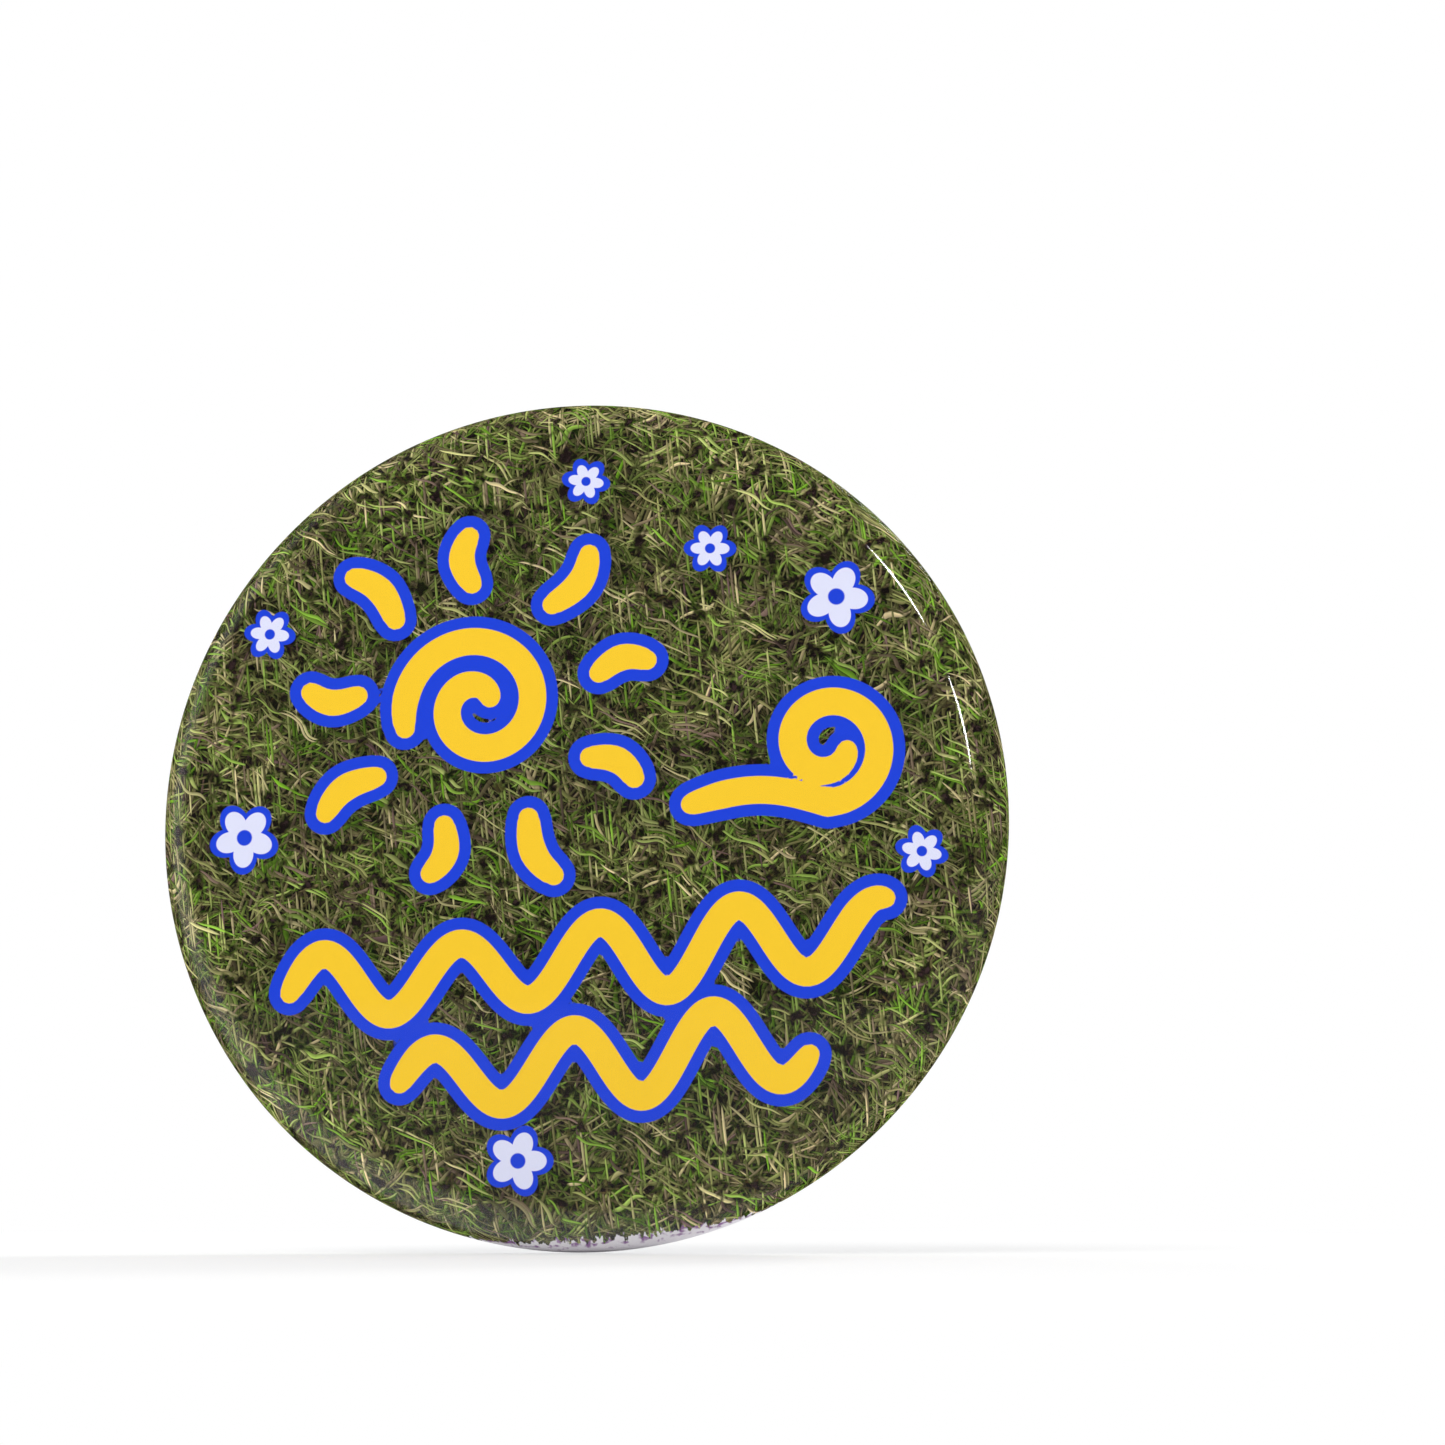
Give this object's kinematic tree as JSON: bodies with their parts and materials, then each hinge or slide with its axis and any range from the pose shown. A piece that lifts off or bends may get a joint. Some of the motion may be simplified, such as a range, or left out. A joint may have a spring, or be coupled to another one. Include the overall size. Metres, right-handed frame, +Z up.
{
  "type": "button badge",
  "caption": "Round button badge: printed paper under a clear film on a domed shell, with a dished metal back and a sprung wire pin that hooks shut.",
  "frame": {"origin": "middle of the badge's box, which is on the axis of its round face, halfway between the face and the top of the pin's hook", "axes": "-Y out of the printed face, +Y out of the metal back, +Z up as the badge is worn, +X to the right as seen from the front and along the pin towards its hook"},
  "size_m": [0.0572, 0.0072, 0.0572],
  "materials": {
    "clear_film": "clear polyester film, glossy",
    "printed_paper": "colour print on thin coated paper",
    "bare_tinplate": "bare tinned steel",
    "brushed_plate": "tinned steel with fine straight rolling streaks, satin",
    "spring_wire": "smooth drawn spring steel wire"
  },
  "bodies": {
    "badge_body": {"film_disc": "clear_film", "print_disc": "printed_paper", "front_shell": "bare_tinplate", "back_plate": "brushed_plate", "pin_base_wire": "spring_wire", "pin_coil": "spring_wire"},
    "needle": {"pin_needle": "spring_wire"}
  },
  "joints": [
    {"name": "needle_open", "type": "hinge", "parent": "badge_body", "child": "needle", "pos_m": [-0.01344, 0.00253, 0.0079], "axis": [0.72, 0.6789, -0.144], "range_deg": [0, 110]}
  ]
}
